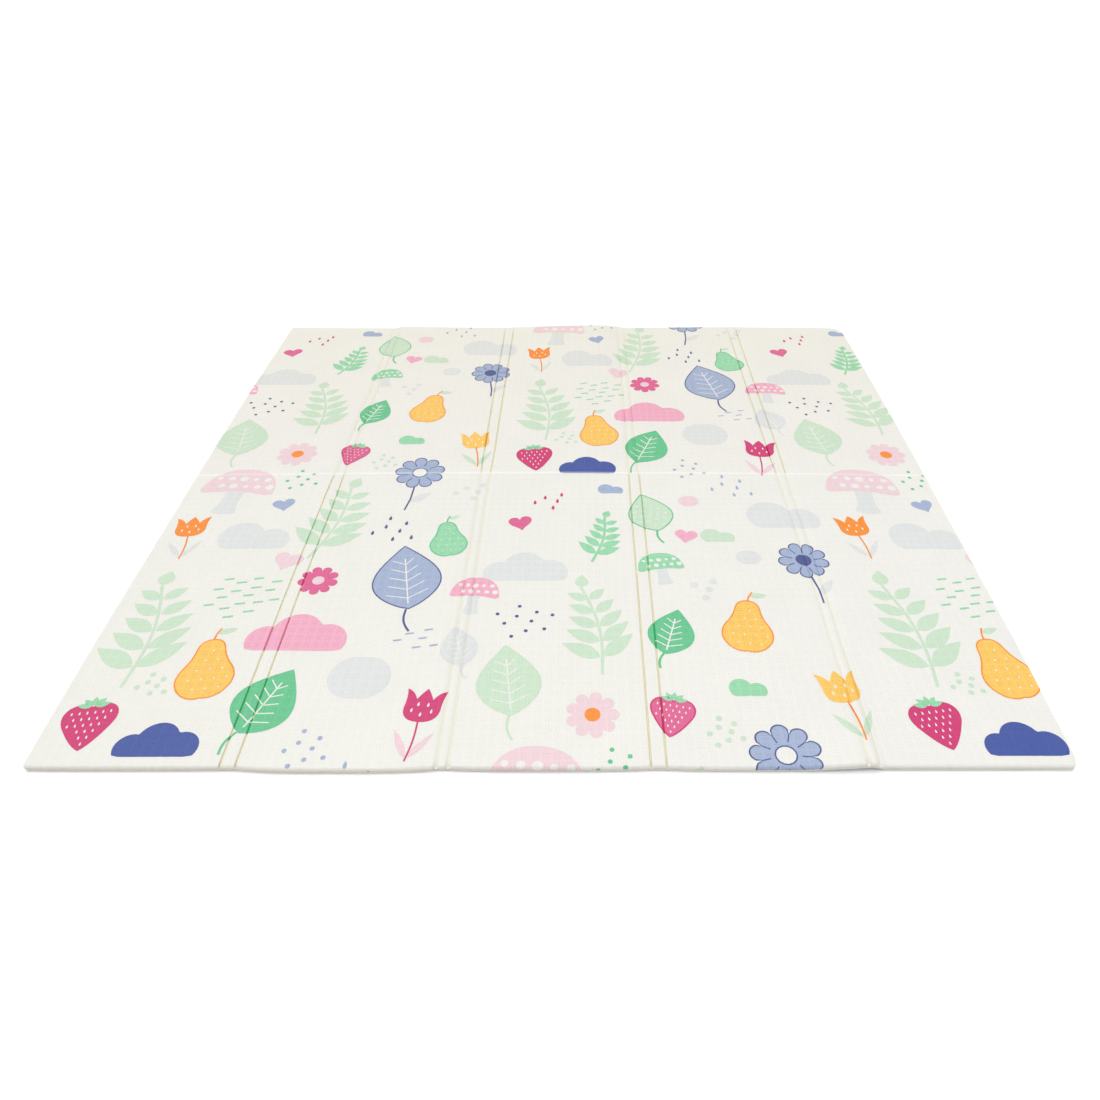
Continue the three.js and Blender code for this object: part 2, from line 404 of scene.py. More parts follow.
def board_mesh():
    """Both faces in one closed skin, which share the seam round the side."""
    seam = np.zeros((ACROSS, ALONG), bool)
    seam[[0, -1], :] = True
    seam[:, [0, -1]] = True
    top_id = np.arange(ACROSS * ALONG).reshape(ACROSS, ALONG)
    bottom_id = top_id.copy()
    bottom_id[~seam] = ACROSS * ALONG + np.arange(int((~seam).sum()))
    points = np.concatenate([top.reshape(-1, 3), bottom[~seam]])
    marks = {
        name: np.concatenate([top_marks[name].ravel(), bottom_marks[name][~seam]]) for name in top_marks
    }

    def quads(ids, upwards):
        ring = [ids[:-1, :-1], ids[1:, :-1], ids[1:, 1:], ids[:-1, 1:]]
        return np.stack(ring if upwards else ring[::-1], axis=-1).reshape(-1, 4)

    faces = np.concatenate([quads(top_id, True), quads(bottom_id, False)])
    mesh = bpy.data.meshes.new("board")
    mesh.from_pydata(points.tolist(), [], faces.tolist())
    mark_points(mesh, marks)
    mesh.shade_smooth()
    return mesh


# The film: satin cream polythene, embossed by a steel roller with small squares over a linen
# hatch. Its colour also carries painted light and shade: a yellow painted shade of bounced light in
# the grooves, a painted highlight along the crease and at the groove ends, a warm painted shade
# down the side, and a warm painted tint of the light towards the back.

CREAM = (0.744, 0.732, 0.679)
# The yellow painted shade of light bouncing in the grooves
GROOVE_SHADE_COLOUR = (0.685, 0.645, 0.395)
# The painted highlight along the crease and at the groove ends
HIGHLIGHT_WHITE = (0.84, 0.83, 0.80)
# The warm painted shade down the side
SIDE_SHADE_COLOUR = (0.87, 0.825, 0.735)
# A warm painted tint of the light, growing towards the back
BACK_LIGHT_TINT = (1.0, 0.982, 0.950)
BACK_TINT_FROM = -0.1
BACK_TINT_TO = 0.8
SATIN = 0.46
EMBOSS_SQUARE = 0.0212
EMBOSS_MARGIN = 0.09
EMBOSS_BARS = 3.5
LEVEL_BARS_FROM = 0.30
NESTED_FROM = 0.60
RINGS_FROM = 0.85
LINEN_PITCH = 0.0021
LINEN_SHARE = 0.10
EMBOSS_HEIGHT = 0.0005
EMBOSS_STRENGTH = 0.6
CLOUDY_SCALE = 9.0
GRAIN_SCALE = 420.0
CLOUDY_SHARE = 0.7
UNEVEN_TONE = 0.08
UNEVEN_ROUGHNESS = 0.12
FILM_SPECULAR = 0.42
# How strongly the painted highlight lightens the cream film, and how deep the painted shade of its relief
# is
CREAM_HIGHLIGHT = 0.6
CREAM_SHADE = 0.032


class Shader:
    """A material under construction, with short ways to add its nodes."""

    def __init__(self, name):
        self.material = bpy.data.materials.new(name)
        self.material.use_nodes = True
        self.tree = self.material.node_tree
        self.surface = self.tree.nodes["Principled BSDF"]

    def add(self, kind, inputs=(), **settings):
        node = self.tree.nodes.new(kind)
        for key, value in settings.items():
            setattr(node, key, value)
        for socket, value in dict(inputs).items():
            if isinstance(value, bpy.types.NodeSocket):
                self.tree.links.new(value, node.inputs[socket])
            else:
                node.inputs[socket].default_value = value
        return node

    def math(self, operation, *values):
        return self.add("ShaderNodeMath", enumerate(values), operation=operation).outputs[0]

    def mix(self, factor, a, b, **settings):
        inputs = {"Factor": factor, 6: a, 7: b}
        return self.add("ShaderNodeMix", inputs, data_type="RGBA", **settings).outputs[2]

    def link(self, output, socket):
        self.tree.links.new(output, self.surface.inputs[socket])


def roller_height(shader, place):
    """The relief of the roller at each point of the film: 1 between its squares, less inside."""
    axes = shader.add("ShaderNodeSeparateXYZ", {0: place}).outputs
    cell, share = [], []
    for axis in (axes[0], axes[1]):
        squares = shader.math("DIVIDE", axis, EMBOSS_SQUARE)
        cell.append(shader.math("FLOOR", squares))
        share.append(shader.math("SUBTRACT", shader.math("FRACT", squares), 0.5))
    corner = shader.add("ShaderNodeCombineXYZ", {0: cell[0], 1: cell[1]}).outputs[0]
    noise = shader.add("ShaderNodeTexWhiteNoise", {"Vector": corner}, noise_dimensions="3D")
    choice = noise.outputs["Value"]
    outward = shader.math("MAXIMUM", shader.math("ABSOLUTE", share[0]), shader.math("ABSOLUTE", share[1]))
    squared = [shader.math("MULTIPLY", value, value) for value in share]
    radius = shader.math("SQRT", shader.math("ADD", *squared))
    bars, level_bars, nested, rings = [
        shader.math("COSINE", shader.math("MULTIPLY", value, 2 * math.pi * EMBOSS_BARS))
        for value in (share[0], share[1], outward, radius)
    ]
    motif = bars
    for start, waves in ((LEVEL_BARS_FROM, level_bars), (NESTED_FROM, nested), (RINGS_FROM, rings)):
        chosen = shader.math("GREATER_THAN", choice, start)
        motif = shader.add("ShaderNodeMix", {0: chosen, 2: motif, 3: waves}).outputs[0]
    inside = shader.math("LESS_THAN", outward, 0.5 - EMBOSS_MARGIN)
    pressed = shader.math("MULTIPLY", shader.math("ADD", shader.math("MULTIPLY", motif, -0.5), 0.5), inside)
    hatch = [
        shader.math("SINE", shader.math("MULTIPLY", axis, 2 * math.pi / LINEN_PITCH)) for axis in axes[:2]
    ]
    linen = shader.math("MULTIPLY", shader.math("ADD", hatch[0], hatch[1]), LINEN_SHARE)
    return shader.math("ADD", shader.math("SUBTRACT", 1.0, pressed), linen)


def film_finish(name, colour, groove_shade_colour, highlight_strength, shade):
    """Film in one colour: its cloudiness, the roller's relief, and the painted light and shade of its
    grooves, crease, side and back.
    """
    shader = Shader(name)
    place = shader.add("ShaderNodeTexCoord").outputs["Object"]
    # The painted groove shade, painted highlight and painted side shade, as stored on the points
    groove_shade, painted_highlight, drawn = [
        shader.add("ShaderNodeAttribute", attribute_name=mark).outputs["Fac"]
        for mark in ("groove_shade", "painted_highlight", "drawn")
    ]
    cloud, grain = [
        shader.add("ShaderNodeTexNoise", {"Vector": place, "Scale": scale, "Detail": detail}).outputs["Fac"]
        for scale, detail in ((CLOUDY_SCALE, 4.0), (GRAIN_SCALE, 2.0))
    ]
    cloud = shader.math("MULTIPLY", cloud, CLOUDY_SHARE)
    uneven = shader.math("ADD", cloud, shader.math("MULTIPLY", grain, 1 - CLOUDY_SHARE))
    relief = roller_height(shader, place)
    # Painted shade in the relief's pressed hollows and painted light on its raised parts
    pressed_colour = tuple(c * (1 - shade) for c in colour) + (1.0,)
    raised_colour = tuple(min(1.0, c * (1 + 0.5 * shade)) for c in colour) + (1.0,)
    embossed = shader.mix(relief, pressed_colour, raised_colour)
    cloudy = shader.math("ADD", 1 - UNEVEN_TONE / 2, shader.math("MULTIPLY", uneven, UNEVEN_TONE))
    body = shader.mix(1.0, embossed, cloudy, blend_type="MULTIPLY")
    # Warm painted tint of the light towards the back
    from_front = shader.add("ShaderNodeSeparateXYZ", {0: place}).outputs[1]
    towards_back = {"Value": from_front, "From Min": BACK_TINT_FROM, "From Max": BACK_TINT_TO}
    back_tint_share = shader.add("ShaderNodeMapRange", towards_back).outputs[0]
    body = shader.mix(back_tint_share, body, BACK_LIGHT_TINT + (1.0,), blend_type="MULTIPLY")
    # Painted highlight along the crease and at the groove ends
    highlighted = shader.mix(shader.math("MULTIPLY", painted_highlight, highlight_strength), body, HIGHLIGHT_WHITE + (1.0,))
    # Painted groove shade over the colour
    pressed = shader.mix(groove_shade, highlighted, groove_shade_colour + (1.0,))
    # Warm painted shade down the side
    shader.link(shader.mix(drawn, pressed, SIDE_SHADE_COLOUR + (1.0,), blend_type="MULTIPLY"), "Base Color")
    uneven_rough = shader.math("MULTIPLY", uneven, UNEVEN_ROUGHNESS)
    rough = shader.math("ADD", SATIN - UNEVEN_ROUGHNESS / 2, uneven_rough)
    shader.link(rough, "Roughness")
    kept = shader.math("SUBTRACT", 1.0, shader.math("MAXIMUM", groove_shade, painted_highlight))
    height = shader.math("MULTIPLY", relief, kept)
    emboss = {"Strength": EMBOSS_STRENGTH, "Distance": EMBOSS_HEIGHT, "Height": height}
    shader.link(shader.add("ShaderNodeBump", emboss).outputs[0], "Normal")
    shader.surface.inputs["Specular IOR Level"].default_value = FILM_SPECULAR
    return shader.material


board = bpy.data.objects.new("board", board_mesh())
bpy.context.collection.objects.link(board)
board.data.materials.append(film_finish("cream_film", CREAM, GROOVE_SHADE_COLOUR, CREAM_HIGHLIGHT, CREAM_SHADE))
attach(board, "root")
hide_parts("mat")


# Clouds and pebbles: flat shapes of the print, laid down first so that others overlap them. The
# print lies on the film as thin flat inks, one roller for each colour, and runs on round the rim.
# It is as long as the mat is deep, and each repeat drops by half of that.

REPEAT_ACROSS = 0.84
REPEAT_ALONG = DEPTH
DROP = 0.5
INK_LIFT = 0.00006
# How strongly the painted highlight lightens the inks, and how deep the painted shade of the relief is on
# strong and pale inks
INK_HIGHLIGHT = 0.35
INK_SHADE = 0.11
PALE_INK_SHADE = 0.055
PALE_INK_SUM = 1.65
INKS = {
    "pale_grey": (0.645, 0.660, 0.645),
    "pale_green": (0.525, 0.665, 0.503),
    "mid_green": (0.115, 0.480, 0.235),
    "leaf_green": (0.275, 0.595, 0.355),
    "pink": (0.765, 0.365, 0.475),
    "pale_pink": (0.745, 0.560, 0.590),
    "raspberry": (0.560, 0.030, 0.150),
    "hot_pink": (0.640, 0.105, 0.250),
    "slate": (0.325, 0.390, 0.545),
    "navy": (0.065, 0.085, 0.230),
    "deep_blue": (0.045, 0.080, 0.305),
    "yellow": (0.840, 0.500, 0.100),
    "orange": (0.830, 0.240, 0.020),
    "blank": CREAM,
}


def film_lines(places, half):
    """Each lattice line's place on the film as it was before it was drawn round the rim."""
    arc = [0.0] * (LAST + 1)
    for k in range(LAST - 1, -1, -1):
        (inset, drop), (next_inset, next_drop) = top_rim[k], top_rim[k + 1]
        arc[k] = arc[k + 1] + math.hypot(next_inset - inset, next_drop - drop)
    return [at if side == 0 else at + side * arc[station] for station, side, at in places]


film_u = film_lines(column_places, WIDTH / 2)
film_v = film_lines(row_places, DEPTH / 2)


def face_normals():
    along_u = np.gradient(top, axis=0)
    along_v = np.gradient(top, axis=1)
    normal = np.cross(along_u, along_v)
    return normal / np.maximum(np.linalg.norm(normal, axis=-1, keepdims=True), 1e-12)


top_normals = face_normals()
ink_finishes = {}


def ink_finish(name):
    if name not in ink_finishes:
        colour = INKS[name]
        # Each ink's painted groove shade, darker and more saturated; the blank takes the film's own
        ink_groove_shade = tuple(0.8 * c * (c / max(colour)) ** 0.9 for c in colour)
        ink_groove_shade = GROOVE_SHADE_COLOUR if name == "blank" else ink_groove_shade
        shade = PALE_INK_SHADE if sum(colour) > PALE_INK_SUM else INK_SHADE
        ink_finishes[name] = film_finish("ink_" + name, colour, ink_groove_shade, INK_HIGHLIGHT, shade)
    return ink_finishes[name]


def cut(polygon, axis, limit, side):
    """The part of a convex polygon on one side of a lattice line."""
    kept = []
    for a, b in zip(polygon, polygon[1:] + polygon[:1]):
        da, db = side * (a[axis] - limit), side * (b[axis] - limit)
        if da >= 0:
            kept.append(a)
        if da * db < 0:
            t = da / (da - db)
            crossing = [a[0] + (b[0] - a[0]) * t, a[1] + (b[1] - a[1]) * t]
            crossing[axis] = limit
            kept.append(tuple(crossing))
    return kept


def slices(polygon, axis, lines):
    """A convex polygon cut along the lattice lines of one axis, with the strip each part is in."""
    values = [p[axis] for p in polygon]
    first = max(0, bisect.bisect_right(lines, min(values)) - 1)
    last = min(len(lines) - 2, bisect.bisect_left(lines, max(values)) - 1)
    for k in range(first, last + 1):
        part = cut(cut(polygon, axis, lines[k], 1), axis, lines[k + 1], -1)
        if len(part) > 2:
            yield k, part


def polygon_area(polygon):
    turned = polygon[1:] + polygon[:1]
    return sum(a[0] * b[1] - b[0] * a[1] for a, b in zip(polygon, turned)) / 2


class Print:
    """The shapes of one family of motifs, laid on the film ink by ink."""

    def __init__(self):
        self.ids = {}
        self.points = []
        self.normals = []
        self.marks = {name: [] for name in top_marks}
        self.faces = []
        self.face_inks = []

    def point(self, place, cell, layer):
        key = (round(place[0], 6), round(place[1], 6), layer)
        if key not in self.ids:
            i, j = cell
            s = (place[0] - film_u[i]) / (film_u[i + 1] - film_u[i])
            t = (place[1] - film_v[j]) / (film_v[j + 1] - film_v[j])
            shares = ((1 - s) * (1 - t), s * (1 - t), s * t, (1 - s) * t)
            corners = ((i, j), (i + 1, j), (i + 1, j + 1), (i, j + 1))
            spot = sum(w * top[c] for w, c in zip(shares, corners))
            normal = sum(w * top_normals[c] for w, c in zip(shares, corners))
            normal /= np.linalg.norm(normal)
            self.ids[key] = len(self.points)
            self.points.append(spot + normal * INK_LIFT * layer)
            self.normals.append(normal)
            for name, values in top_marks.items():
                self.marks[name].append(sum(w * values[c] for w, c in zip(shares, corners)))
        return self.ids[key]

    def convex(self, polygon, ink, layer):
        if polygon_area(polygon) < 0:
            polygon = polygon[::-1]
        for i, strip in slices(polygon, 0, film_u):
            for j, part in slices(strip, 1, film_v):
                ids = []
                for place in part:
                    found = self.point(place, (i, j), layer)
                    if found not in ids:
                        ids.append(found)
                if len(ids) > 2 and polygon_area(part) > 1e-10:
                    self.faces.append(ids)
                    self.face_inks.append(ink)

    def fill(self, shape, ink, layer):
        flat = [Vector((x, y, 0.0)) for x, y in shape]
        for corners in tessellate_polygon([flat]):
            self.convex([shape[k] for k in corners], ink, layer)

    def band(self, line, width, ink, layer, closed=False):
        """A drawn line of even width along a run of points."""
        count = len(line)
        sides = []
        for k in range(count):
            before = line[k - 1] if closed or k > 0 else line[k]
            after = line[(k + 1) % count] if closed or k < count - 1 else line[k]
            dx, dy = after[0] - before[0], after[1] - before[1]
            length = math.hypot(dx, dy) or 1.0
            nx, ny = -dy / length * width / 2, dx / length * width / 2
            sides.append(((line[k][0] + nx, line[k][1] + ny), (line[k][0] - nx, line[k][1] - ny)))
        last = count if closed else count - 1
        for k in range(last):
            (a, b), (c, d) = sides[k], sides[(k + 1) % count]
            self.convex([a, b, d, c], ink, layer)

    def press_on(self, name):
        inks = sorted(set(self.face_inks))
        mesh = bpy.data.meshes.new(name)
        mesh.from_pydata([tuple(p) for p in self.points], [], self.faces)
        mark_points(mesh, self.marks)
        for ink in inks:
            mesh.materials.append(ink_finish(ink))
        mesh.polygons.foreach_set("material_index", [inks.index(ink) for ink in self.face_inks])
        mesh.shade_smooth()
        mesh.normals_split_custom_set_from_vertices([tuple(n) for n in self.normals])
        piece = bpy.data.objects.new(name, mesh)
        bpy.context.collection.objects.link(piece)
        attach(piece, "root")
        return piece


def everywhere(places):
    """Each place of a table, wherever the repeat brings it on to the mat."""
    for row in places:
        for k in range(-1, 3):
            for m in (-1, 0, 1):
                x = row["x"] + k * REPEAT_ACROSS - WIDTH / 2
                y = row["y"] + (m + DROP * (k % 2)) * REPEAT_ALONG - DEPTH / 2
                reach = row["size"]
                if abs(x) < WIDTH / 2 + reach and abs(y) < DEPTH / 2 + reach:
                    yield {**row, "x": x, "y": y}


def placed(shape, row):
    """A shape of size 1 about its middle, turned, sized and moved to its place."""
    turn = math.radians(row.get("turn", 0))
    cos, sin = math.cos(turn) * row["size"], math.sin(turn) * row["size"]
    return [(row["x"] + x * cos - y * sin, row["y"] + x * sin + y * cos) for x, y in shape]


def puffs(circles, floor, steps=72):
    """The outline of overlapping round puffs on a level base, as rays from their middle reach it."""
    centre_x = sum(c[0] for c in circles) / len(circles)
    centre_y = floor + 0.10
    shape = []
    for k in range(steps):
        angle = 2 * math.pi * k / steps
        ux, uy = math.cos(angle), math.sin(angle)
        reach = 0.0
        for x, y, r in circles:
            along = (x - centre_x) * ux + (y - centre_y) * uy
            off = (x - centre_x) ** 2 + (y - centre_y) ** 2 - along ** 2
            if off < r * r:
                reach = max(reach, along + math.sqrt(r * r - off))
        if uy < 0:
            reach = min(reach, (floor - centre_y) / uy)
        shape.append((centre_x + ux * reach, centre_y + uy * reach))
    return shape


CLOUD_SHAPES = {
    "three_puffs": ([(-0.31, -0.08, 0.19), (-0.03, 0.02, 0.25), (0.27, -0.07, 0.21)], -0.20),
    "two_puffs": ([(-0.17, 0.00, 0.24), (0.16, -0.07, 0.20)], -0.20),
    "pebble": ([(-0.05, 0.00, 0.27), (0.07, 0.00, 0.27)], -0.30),
}
CLOUDS = [
    {"x": 0.74, "y": 1.64, "size": 0.24, "shape": "two_puffs", "ink": "pale_grey", "layer": 1},
    {"x": 0.43, "y": 0.33, "size": 0.225, "shape": "three_puffs", "ink": "pink", "layer": 2},
    {"x": 0.585, "y": 0.215, "size": 0.2, "shape": "pebble", "ink": "pale_grey", "layer": 1},
    {"x": 0.62, "y": 1.48, "size": 0.09, "shape": "pebble", "ink": "pale_grey", "layer": 1},
    {"x": 0.56, "y": 1.56, "size": 0.11, "shape": "two_puffs", "ink": "pale_green", "layer": 1},
    {"x": 0.24, "y": 0.66, "size": 0.23, "shape": "two_puffs", "ink": "pale_grey", "layer": 1},
    {"x": 0.235, "y": 0.055, "size": 0.165, "shape": "three_puffs", "ink": "deep_blue", "layer": 2},
    {"x": 0.56, "y": 1.085, "size": 0.1, "shape": "two_puffs", "ink": "leaf_green", "layer": 2},
    {"x": 0.5, "y": 1.7, "size": 0.08, "shape": "pebble", "ink": "pale_pink", "layer": 1},
    {"x": 0.085, "y": 1.44, "size": 0.21, "shape": "three_puffs", "ink": "pale_grey", "layer": 1},
    {"x": 0.3, "y": 1.75, "size": 0.09, "shape": "two_puffs", "ink": "slate", "layer": 2},
]

clouds = Print()
for row in everywhere(CLOUDS):
    circles, floor = CLOUD_SHAPES[row["shape"]]
    clouds.fill(placed(puffs(circles, floor), row), row["ink"], row["layer"])
clouds.press_on("print_clouds")


# Sprigs: a bent stem with pairs of almond leaflets. They are flat ink on the film, in a pale green
# or a stronger one, and the stem is printed over its leaflets.

SPRIG_PAIRS = 5
SPRIG_STEM = 0.007
SPRIGS = [
    {"x": 0.1, "y": 0.36, "size": 0.35, "turn": 6, "ink": "pale_green", "layer": 1},
    {"x": 0.42, "y": 0.74, "size": 0.33, "turn": -9, "ink": "pale_green", "layer": 1},
    {"x": 0.245, "y": 1.27, "size": 0.3, "turn": 10, "ink": "pale_green", "layer": 1},
    {"x": 0.27, "y": 1.56, "size": 0.2, "turn": -12, "ink": "leaf_green", "layer": 2},
]


def almond(base, tip, half_width, steps=9):
    """A leaf blade between two points: widest a little past its base, pointed at its tip."""
    dx, dy = tip[0] - base[0], tip[1] - base[1]
    length = math.hypot(dx, dy)
    nx, ny = -dy / length, dx / length
    left, right = [], []
    for k in range(1, steps):
        t = k / steps
        half = half_width * math.sin(math.pi * t ** 0.8)
        x, y = base[0] + dx * t, base[1] + dy * t
        left.append((x + nx * half, y + ny * half))
        right.append((x - nx * half, y - ny * half))
    return [base] + right + [tip] + left[::-1]


sprigs = Print()
for row in everywhere(SPRIGS):
    stem = [(0.06 * math.sin(math.pi * k / 12) - 0.03, k / 12 * 0.86 - 0.5) for k in range(13)]
    sprigs.band(placed(stem, row), SPRIG_STEM, row["ink"], row["layer"] + 1)
    sprigs.fill(placed(almond(stem[-1], (0.0, 0.5), 0.055), row), row["ink"], row["layer"])
    for pair in range(SPRIG_PAIRS):
        x, y = stem[2 + 2 * pair]
        spread = 0.31 * (1 - 0.11 * pair)
        for side in (-1, 1):
            tip = (x + side * spread * 0.86, y + spread * 0.60)
            root = (x + side * 0.012, y + 0.01)
            sprigs.fill(placed(almond(root, tip, 0.062 * (1 - 0.08 * pair)), row), row["ink"], row["layer"])
sprigs.press_on("print_sprigs")


# Broad leaves: large single leaves of flat ink with a drawn outline and a stalk. Their veins, or
# small dashes, show the film's own cream.

OUTLINE_WIDTH = 0.0032
LEAF_MARK_SIZE = 0.026
LEAVES = [
    {"x": 0.64, "y": 0.48, "size": 0.285, "turn": 14,
     "ink": "slate", "line": "navy", "marks": "veins"},
    {"x": 0.4, "y": 0.13, "size": 0.225, "turn": -20,
     "ink": "mid_green", "line": "mid_green", "marks": "veins"},
    {"x": 0.065, "y": 1.08, "size": 0.24, "turn": 10,
     "ink": "pale_green", "line": "pale_green", "marks": "veins"},
    {"x": 0.41, "y": 1.22, "size": 0.175, "turn": -14,
     "ink": "mid_green", "line": "mid_green", "marks": "veins"},
    {"x": 0.79, "y": 0.28, "size": 0.15, "turn": 20,
     "ink": "pale_grey", "line": "pale_grey", "marks": "veins"},
    {"x": 0.4, "y": 1.63, "size": 0.2, "turn": 16,
     "ink": "pale_green", "line": "mid_green", "marks": "dashes"},
]
LEAF_MARK_PITCH = 0.105
LEAF_VEINS = 5


def staggered(shape, pitch, margin):
    """Staggered places inside an outline, none closer to it than the margin."""
    xs, ys = [p[0] for p in shape], [p[1] for p in shape]
    edges = list(zip(shape, shape[1:] + shape[:1]))
    found = []
    for r in range(int((max(ys) - min(ys)) / pitch) + 2):
        y = min(ys) + r * pitch
        for c in range(int((max(xs) - min(xs)) / pitch) + 2):
            x = min(xs) + (c + 0.5 * (r % 2)) * pitch
            crossings = sum(
                (a[1] > y) != (b[1] > y) and x < a[0] + (y - a[1]) * (b[0] - a[0]) / (b[1] - a[1])
                for a, b in edges
            )
            if crossings % 2 and all(math.hypot(x - a[0], y - a[1]) > margin for a, _ in edges):
                found.append((x, y))
    return found


def mark(kind, x, y, size):
    """One small mark about a point: a dash, a drop or a dot."""
    if kind == "dashes":
        rim = [(-1, -0.3), (1, 0), (1, 0.5), (-1, 0.2)]
        return [(x + size * across, y + size * along) for across, along in rim]
    steps = 14
    rim = [2 * math.pi * k / steps for k in range(steps)]
    if kind == "drops":
        return [(x + 0.6 * size * math.sin(a) * math.sin(a / 2), y + size * math.cos(a)) for a in rim]
    return [(x + size * math.cos(a), y + size * math.sin(a)) for a in rim]


leaves = Print()
for row in everywhere(LEAVES):
    blade = almond((0.0, -0.26), (0.03, 0.5), 0.28, steps=24)
    stalk = [(-0.02 - 0.03 * math.sin(math.pi * k / 8), -0.5 + k * 0.03) for k in range(9)]
    leaves.fill(placed(blade, row), row["ink"], 3)
    leaves.band(placed(blade, row), OUTLINE_WIDTH, row["line"], 4, closed=True)
    leaves.band(placed(stalk, row), OUTLINE_WIDTH * 1.6, row["line"], 4)
    if row["marks"] == "veins":
        leaves.band(placed([(0.0, -0.20), (0.008, 0.0), (0.02, 0.34)], row), OUTLINE_WIDTH, "blank", 4)
        for k in range(LEAF_VEINS):
            y = -0.14 + 0.10 * k
            for side in (-1, 1):
                reach = 0.17 * (1 - 0.12 * k)
                vein = [(0.004 + 0.004 * k, y), (0.004 + side * reach, y + 0.07)]
                leaves.band(placed(vein, row), OUTLINE_WIDTH * 0.8, "blank", 4)
    else:
        for x, y in staggered(blade, LEAF_MARK_PITCH, 0.05):
            leaves.convex(placed(mark(row["marks"], x, y, LEAF_MARK_SIZE), row), "blank", 4)
leaves.press_on("print_broad_leaves")


# Tulips: a cup of three pointed petals in one flat ink, with drops that show the cream film. Their
# stem is a drawn line, printed over two slender leaves.

TULIPS = [
    {"x": 0.07, "y": 0.66, "size": 0.165, "turn": 6,
     "cup": "orange", "stem": "orange", "leaf": "pale_grey"},
    {"x": 0.725, "y": 0.1, "size": 0.17, "turn": -8,
     "cup": "raspberry", "stem": "raspberry", "leaf": "pale_pink"},
    {"x": 0.75, "y": 1.04, "size": 0.175, "turn": 8,
     "cup": "yellow", "stem": "orange", "leaf": "pale_green"},
]


def bent(*knots):
    """A closed outline of soft bends: a point, the control of its bend, the next point, and so on."""
    shape = []
    for k in range(0, len(knots), 2):
        a, control, b = knots[k], knots[k + 1], knots[(k + 2) % len(knots)]
        for step in range(7):
            t = step / 7
            near, middle, far = (1 - t) ** 2, 2 * t * (1 - t), t * t
            shape.append(tuple(near * a[n] + middle * control[n] + far * b[n] for n in (0, 1)))
    return shape


TULIP_CUP = bent(
    (0.0, 0.02), (0.25, 0.02), (0.22, 0.26), (0.22, 0.40), (0.25, 0.48), (0.15, 0.45),
    (0.10, 0.34), (0.05, 0.44), (0.0, 0.50), (-0.05, 0.44), (-0.10, 0.34), (-0.15, 0.45),
    (-0.25, 0.48), (-0.22, 0.40), (-0.22, 0.26), (-0.25, 0.02),
)

tulips = Print()
for row in everywhere(TULIPS):
    tulips.fill(placed(TULIP_CUP, row), row["cup"], 3)
    stem = [(0.02 * math.sin(math.pi * k / 8), 0.04 - 0.54 * k / 8) for k in range(9)]
    tulips.band(placed(stem, row), OUTLINE_WIDTH * 1.2, row["stem"], 4)
    for side in (-1, 1):
        blade = almond((side * 0.01, -0.46), (side * 0.24, -0.10), 0.045)
        tulips.fill(placed(blade, row), row["leaf"], 3)
    for x, y in ((-0.12, 0.18), (0.0, 0.13), (0.12, 0.18), (-0.06, 0.27), (0.06, 0.27)):
        tulips.convex(placed(mark("drops", x, y, 0.030), row), "blank", 4)
tulips.press_on("print_tulips")


# Daisies: a ring of round-ended petals about a disc, in flat inks. The large ones have a drawn
# outline, and a drawn stem with one leaf.

PETALS = 9
PETAL_ROOT = 0.34
PETAL_TIP = 0.5
DISC_RADIUS = 0.15
DRAWN_FLOWER = {"lift": 0.20, "size": 0.58}
DAISIES = [
    {"x": 0.6, "y": 0.88, "size": 0.235, "turn": -6, "petal": "slate", "line": "navy", "disc": "blank"},
    {"x": 0.24, "y": 1.02, "size": 0.11, "turn": 20, "petal": "pale_pink", "line": None, "disc": "orange"},
    {"x": 0.755, "y": 1.43, "size": 0.21, "turn": 6, "petal": "slate", "line": "navy", "disc": "navy"},
    {"x": 0.43, "y": 0.5, "size": 0.095, "turn": 8, "petal": "hot_pink", "line": None, "disc": "pale_pink"},
]


def petal_rim(petals, inner, outer, steps=10):
    """The scalloped outline of a ring of petals that touch."""
    shape = []
    for p in range(petals):
        for k in range(steps):
            t = (p + k / steps) / petals
            reach = inner + (outer - inner) * math.sqrt(math.sin(math.pi * k / steps))
            shape.append((reach * math.cos(2 * math.pi * t), reach * math.sin(2 * math.pi * t)))
    return shape


daisies = Print()
for row in everywhere(DAISIES):
    lift, size = (DRAWN_FLOWER["lift"], DRAWN_FLOWER["size"]) if row["line"] else (0.0, 1.0)
    flower = [(x * size, y * size + lift) for x, y in petal_rim(PETALS, PETAL_ROOT, PETAL_TIP)]
    disc = [(x * size, y * size + lift) for x, y in mark("dots", 0, 0, DISC_RADIUS)]
    daisies.fill(placed(flower, row), row["petal"], 3)
    daisies.convex(placed(disc, row), row["disc"], 4)
    if row["line"]:
        daisies.band(placed(flower, row), OUTLINE_WIDTH, row["line"], 4, closed=True)
        daisies.band(placed(disc, row), OUTLINE_WIDTH, row["line"], 5, closed=True)
        for k in range(PETALS):
            turn = 2 * math.pi * k / PETALS
            reaches = (0.22 * size, PETAL_ROOT * size)
            ray = [(reach * math.cos(turn), reach * math.sin(turn) + lift) for reach in reaches]
            daisies.band(placed(ray, row), OUTLINE_WIDTH * 0.8, row["line"], 4)
        stem = [(0.0, -0.5), (0.015, -0.3), (0.0, lift - 0.47 * size)]
        daisies.band(placed(stem, row), OUTLINE_WIDTH * 1.4, row["line"], 4)
        daisies.fill(placed(almond((0.02, -0.36), (0.22, -0.16), 0.055), row), "pale_grey", 2)
daisies.press_on("print_daisies")


# Toadstools: a domed cap of flat ink on a short pale stem. A few large spots show the film's own
# cream.

